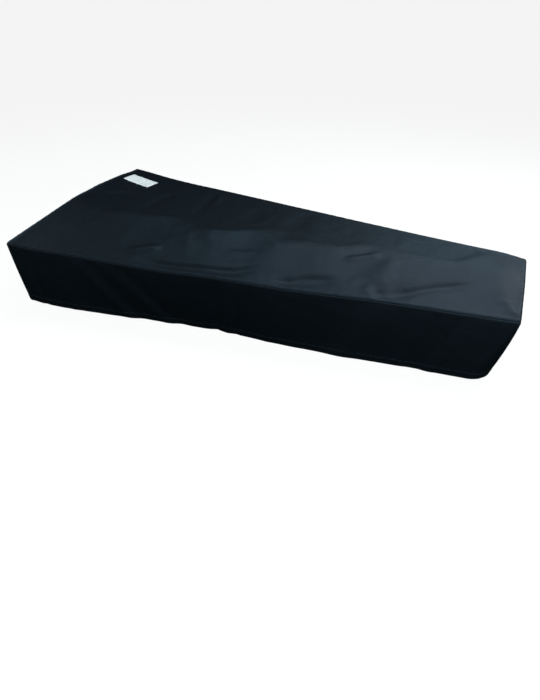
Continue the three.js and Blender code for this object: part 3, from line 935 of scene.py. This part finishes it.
def cover_finish():
    material, nodes, links, shader = new_material("coated_polyester")
    place, u, v = cloth_place(nodes, links)
    weave = plain_weave(nodes, links, u, v, THREAD_PITCH)
    patches = noise(nodes, links, place, 9.0, 3.0)
    mottle = noise(nodes, links, place, 55.0, 3.0)
    tone = maths(nodes, links, "MULTIPLY", stretch(nodes, links, weave, 0.55, 1.0),
                 stretch(nodes, links, patches, 0.75, 1.2))
    cloth = blend_colours(nodes, links, tone, NAVY_DARK, NAVY)
    # The attribute mixes in the paler navy: wear, and painted highlight along the top's seams and
    # inside the wide end.
    wear_and_highlight = nodes.new("ShaderNodeAttribute")
    wear_and_highlight.attribute_name = "wear_and_highlight"
    share = maths(nodes, links, "MULTIPLY", wear_and_highlight.outputs["Fac"],
                  stretch(nodes, links, mottle, 0.2, 1.0))
    links.new(blend_colours(nodes, links, share, cloth, WEAR_AND_HIGHLIGHT_NAVY), shader.inputs["Base Color"])
    shine = maths(nodes, links, "ADD", stretch(nodes, links, mottle, 0.48, 0.55),
                  stretch(nodes, links, patches, -0.03, 0.03))
    links.new(shine, shader.inputs["Roughness"])
    shader.inputs["Specular IOR Level"].default_value = 0.15
    shader.inputs["Specular Tint"].default_value = (0.72, 0.85, 1.0, 1)
    shader.inputs["Sheen Weight"].default_value = 0.002
    shader.inputs["Sheen Roughness"].default_value = 0.45
    shader.inputs["Sheen Tint"].default_value = (0.75, 0.88, 1.0, 1)
    relief(nodes, links, shader, (mottle, 0.0006), (weave, 0.00004))
    return material


coated_polyester = cover_finish()

# %% [markdown]
# ## The label's cloth
#
# The label is woven in fine white satin. Its threads float over several others, so it shows close
# parallel ribs. It carries no words.

# %% The label's finish
RIB_PITCH = 0.0005
SATIN_PITCH = 0.0010
LABEL_CLEAN = (0.62, 0.54, 0.47, 1)     # creamy, and white under the cool light
LABEL_SOILED = (0.55, 0.48, 0.42, 1)


def label_finish():
    material, nodes, links, shader = new_material("white_label_weave")
    place, u, v = cloth_place(nodes, links)
    ribs = maths(nodes, links, "ABSOLUTE", maths(
        nodes, links, "SINE", maths(nodes, links, "MULTIPLY", v, math.pi / RIB_PITCH)))
    cross = plain_weave(nodes, links, u, v, SATIN_PITCH)
    soil = noise(nodes, links, place, 40.0, 4.0)
    colour = blend_colours(nodes, links, stretch(nodes, links, soil, 0.0, 0.5),
                           LABEL_CLEAN, LABEL_SOILED)
    links.new(colour, shader.inputs["Base Color"])
    shader.inputs["Roughness"].default_value = 0.55
    shader.inputs["Sheen Weight"].default_value = 0.1
    relief(nodes, links, shader, (cross, 0.00008), (ribs, 0.00008))
    return material


white_label_weave = label_finish()

# %% The threads' finish
def thread_finish(name, colour):
    material, nodes, links, shader = new_material(name)
    place = nodes.new("ShaderNodeTexCoord").outputs["Object"]
    fuzz = noise(nodes, links, place, 2200.0, 2.0)
    dark = tuple(0.6 * part for part in colour[:3]) + (1,)
    links.new(blend_colours(nodes, links, fuzz, dark, colour), shader.inputs["Base Color"])
    shader.inputs["Roughness"].default_value = 0.5
    shader.inputs["Specular IOR Level"].default_value = 0.3
    return material


navy_thread = thread_finish("navy_thread", (0.010, 0.015, 0.022, 1))
pale_thread = thread_finish("pale_thread", (0.72, 0.74, 0.73, 1))

# %% [markdown]
# ## Dressing the pieces
#
# Each cloth takes its solid's place and its material slot, and everything rides on the one body.

# %% Dress the pieces
def dress(piece, material, node=None):
    piece.data.materials.append(material)
    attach(piece, "root")
    if node:
        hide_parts(node)


dress(top_cloth, coated_polyester, "top_panel")
for wall, piece, stitches in zip(WALLS, wall_cloths, hem_stitches):
    dress(piece, coated_polyester, wall["name"])
    dress(stitches, navy_thread)
dress(label, white_label_weave, "label")
dress(label_stitches, pale_thread)

# %% [markdown]
# ## Cut sizes of the sheets
#
# Each cloth was cut flat before it was sewn. The top is a trapezoid as long and as wide as the
# solved outline. A wall is as long as its edge, and its depth is the drop of the skirt, counted
# along the cloth from the hem's fold round the bend to the seam. The walls hang from the top.

# %% [markdown]
# ## The camera
#
# The camera stands in front of the cover and to the right of its middle, at about the height of a
# person's eyes, and looks down to the left. It is turned by three angles in degrees: round from the
# back, down, and a little roll.

# %% Camera
CAMERA_PLACE = (0.4904, -1.1726, 0.5106)
CAMERA_TURNS = (22.6204, 34.8462, 0.9395)
LENS = 26.542
SENSOR = 36


def place_camera():
    azimuth, elevation, roll = (math.radians(turn) for turn in CAMERA_TURNS)
    ahead = Vector((-math.sin(azimuth) * math.cos(elevation),
                    math.cos(azimuth) * math.cos(elevation), -math.sin(elevation)))
    right = Vector((math.cos(azimuth), math.sin(azimuth), 0))
    up = right.cross(ahead)
    side = right * math.cos(roll) + up * math.sin(roll)
    top = up * math.cos(roll) - right * math.sin(roll)
    data = bpy.data.cameras.new("camera")
    data.lens = LENS
    data.sensor_width = SENSOR
    camera = bpy.data.objects.new("camera", data)
    turned = Matrix((side, top, -ahead)).transposed().to_4x4()
    camera.matrix_world = Matrix.Translation(CAMERA_PLACE) @ turned
    bpy.context.scene.collection.objects.link(camera)
    bpy.context.scene.camera = camera


place_camera()

# %% [markdown]
# ## The floor
#
# A wide, pale, plain floor lies under the hem. It glows a little, so it stays pale far away, and it
# sends no light back on the cloth.

# %% Floor
FLOOR_RADIUS = 90
FLOOR_GLOW = 0.90


def build_floor():
    bm = bmesh.new()
    bmesh.ops.create_circle(bm, cap_ends=True, segments=64, radius=FLOOR_RADIUS)
    bmesh.ops.translate(bm, verts=bm.verts, vec=(0, 0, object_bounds()[0][2] - 0.001))
    mesh = bpy.data.meshes.new("floor")
    bm.to_mesh(mesh)
    bm.free()
    floor = bpy.data.objects.new("floor", mesh)
    bpy.context.scene.collection.objects.link(floor)
    material, nodes, links, shader = new_material("pale_floor")
    shader.inputs["Base Color"].default_value = (0.10, 0.09, 0.08, 1)
    shader.inputs["Roughness"].default_value = 0.9
    shader.inputs["Specular IOR Level"].default_value = 0.0
    shader.inputs["Emission Color"].default_value = (1, 1, 1, 1)
    shader.inputs["Emission Strength"].default_value = FLOOR_GLOW
    mesh.materials.append(material)
    floor.visible_diffuse = False
    floor.visible_glossy = False


build_floor()

# %% [markdown]
# ## The lights
#
# Coated cloth is almost black and shows mostly what it mirrors, so small changes of slope decide
# how bright it looks. A row of soft lights behind and to the right, cool as daylight, shines along
# the top. Weak wide fills from the front keep the skirt from going quite black.

# %% Lights
AIM = Vector((0.1, 0.0, -0.03))
LIGHT_AWAY = 2.0


def soft_light(name, round_from_back, up, watts, side, colour):
    """A square soft light. Its direction is in degrees, from the back to the right and upwards."""
    data = bpy.data.lights.new(name, "AREA")
    data.shape = "SQUARE"
    data.size = side
    data.energy = watts
    data.color = colour
    turn, rise = math.radians(round_from_back), math.radians(up)
    toward = Vector((math.sin(turn) * math.cos(rise), math.cos(turn) * math.cos(rise),
                     math.sin(rise)))
    light = bpy.data.objects.new(name, data)
    light.location = AIM + toward * LIGHT_AWAY
    light.rotation_euler = toward.to_track_quat("Z", "Y").to_euler()
    bpy.context.scene.collection.objects.link(light)


COOL = (0.72, 0.85, 1.0)
COOLER = (0.50, 0.80, 1.0)
FILL = (0.70, 0.92, 1.0)
SOFT_LIGHTS = [  # name, round from the back, up, watts, side, colour
    ("window", 15, 30, 5.4, 0.5, COOLER), ("window_high", 15, 62, 14.9, 0.5, COOL),
    ("back_middle", 0, 45, 3.1, 0.5, COOL), ("back_low", 0, 30, 0.9, 0.5, COOLER),
    ("window_low", 30, 15, 1.4, 0.5, COOL), ("side_low", 45, 30, 11.4, 0.5, COOL),
    ("side_high", 60, 62, 17.3, 0.5, COOL), ("far_left", -45, 62, 12.6, 0.5, COOLER),
    ("fill_right", 135, 20, 50, 1.2, FILL), ("fill_front", 180, 25, 28, 1.2, FILL),
    ("fill_left", 225, 20, 10, 1.2, FILL), ("fill_wide_end", 270, 30, 4.4, 1.2, FILL),
]
for light in SOFT_LIGHTS:
    soft_light(*light)

# %% The room
DIM, PALE = 0.01, 0.90      # where the cloth would mirror it, and where the camera sees it
world = bpy.data.worlds.new("room")
bpy.context.scene.world = world
world.use_nodes = True
background = world.node_tree.nodes["Background"]
seen = world.node_tree.nodes.new("ShaderNodeLightPath")
room = stretch(world.node_tree.nodes, world.node_tree.links, seen.outputs["Is Camera Ray"],
               DIM, PALE)
world.node_tree.links.new(room, background.inputs["Strength"])
background.inputs["Color"].default_value = (1, 1, 1, 1)

bpy.context.scene.view_settings.view_transform = "Standard"
